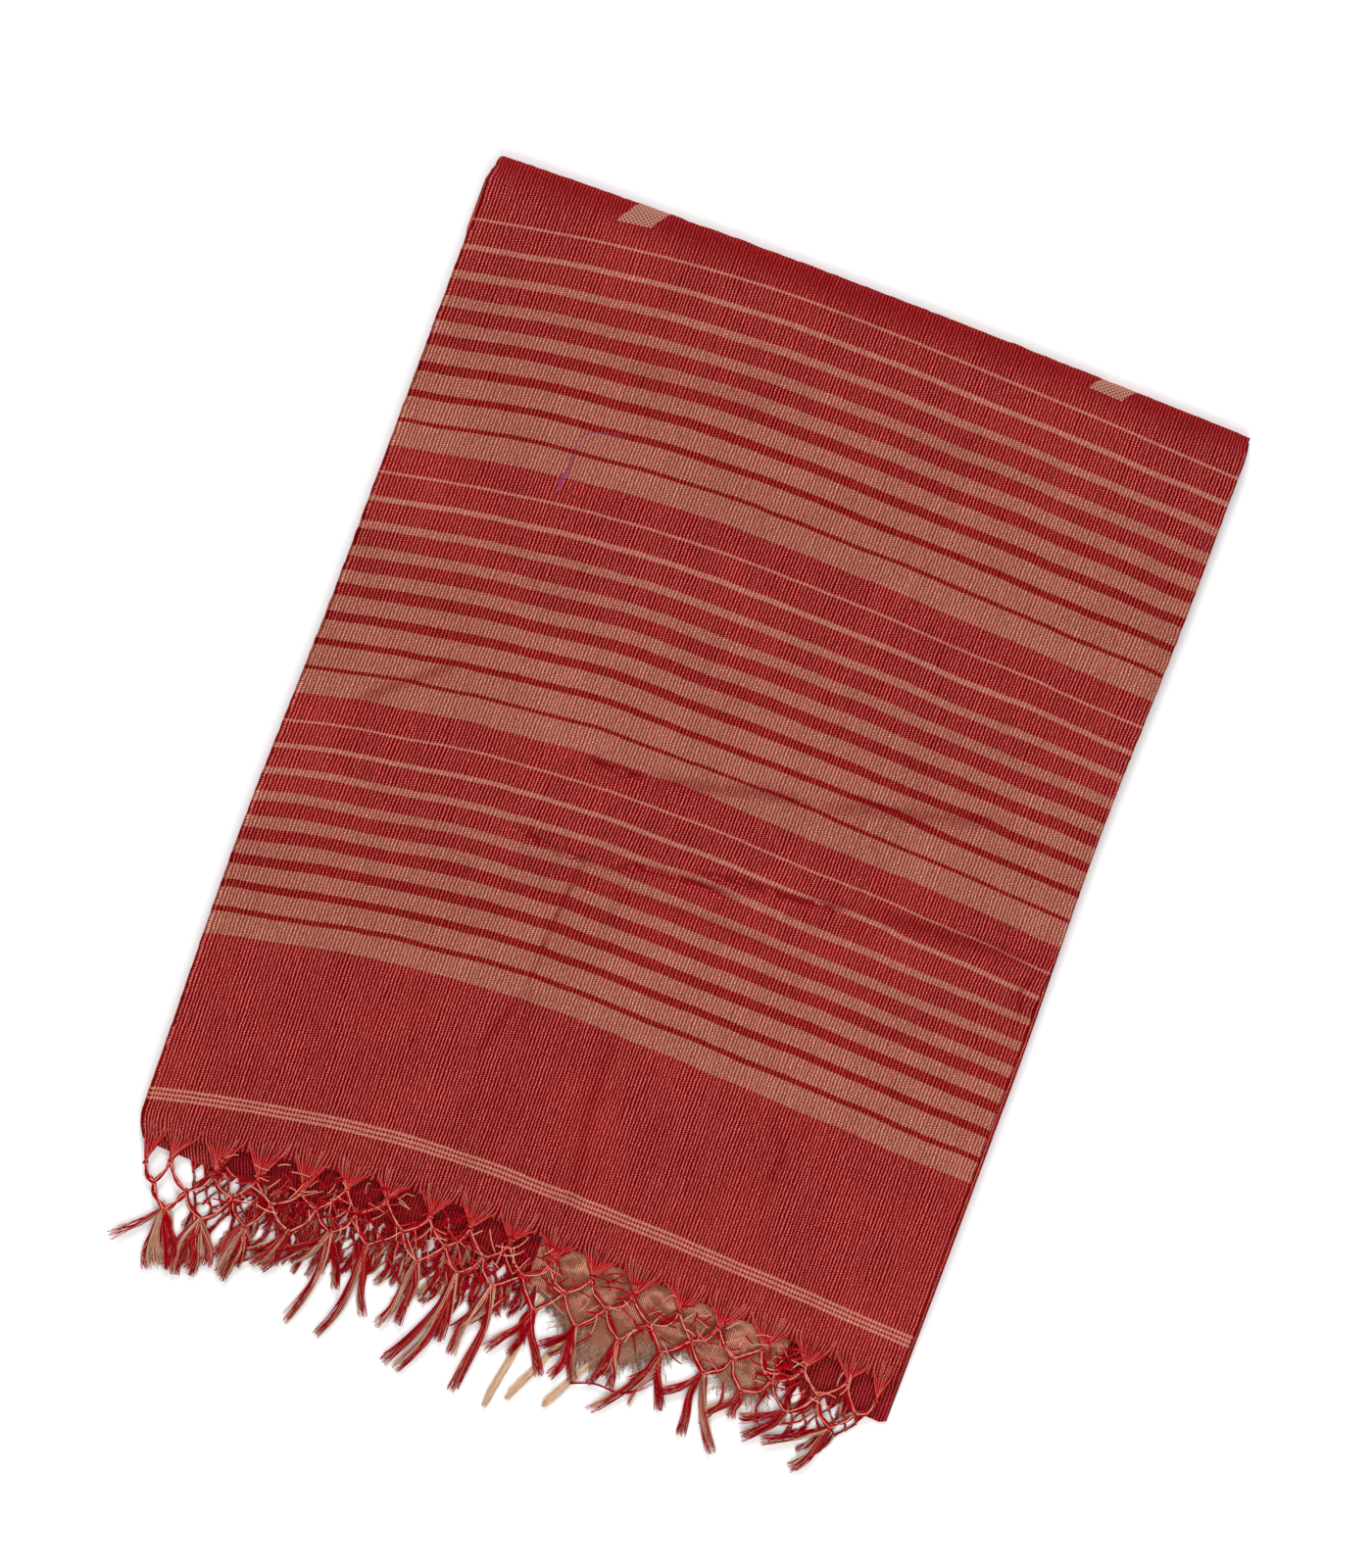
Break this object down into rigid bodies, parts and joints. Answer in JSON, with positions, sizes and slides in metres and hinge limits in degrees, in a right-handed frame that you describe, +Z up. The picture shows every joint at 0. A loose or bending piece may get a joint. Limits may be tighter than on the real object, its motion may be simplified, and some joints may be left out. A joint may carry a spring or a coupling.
{
  "type": "folded cotton sari",
  "caption": "Cotton sari folded flat, striped end piece on top, knotted net fringe with tassels spread below the hem.",
  "frame": {"origin": "bottom centre of the part's box, on the surface that the folded sari lies on", "axes": "+X across the folded width, +Y towards the top fold with the fringe at -Y, +Z up"},
  "size_m": [0.592, 0.862, 0.0135],
  "materials": {
    "field_cloth": "matt red handloom cotton, many folded layers",
    "end_piece_cloth": "matt red handloom cotton with graded tan cross stripes",
    "plain_end_cloth": "matt plain tan cotton",
    "fringe_yarn": "soft red and tan cotton yarn",
    "plain_end_yarn": "fluffy tan cotton yarn"
  },
  "bodies": {
    "root": {"folded_body": "field_cloth", "end_piece_lower": "end_piece_cloth", "end_piece_upper": "end_piece_cloth", "plain_end": "plain_end_cloth", "fringe_upper": "fringe_yarn", "fringe_lower_left": "fringe_yarn", "fringe_lower_right": "fringe_yarn", "fringe_plain_end": "plain_end_yarn"}
  },
  "joints": []
}
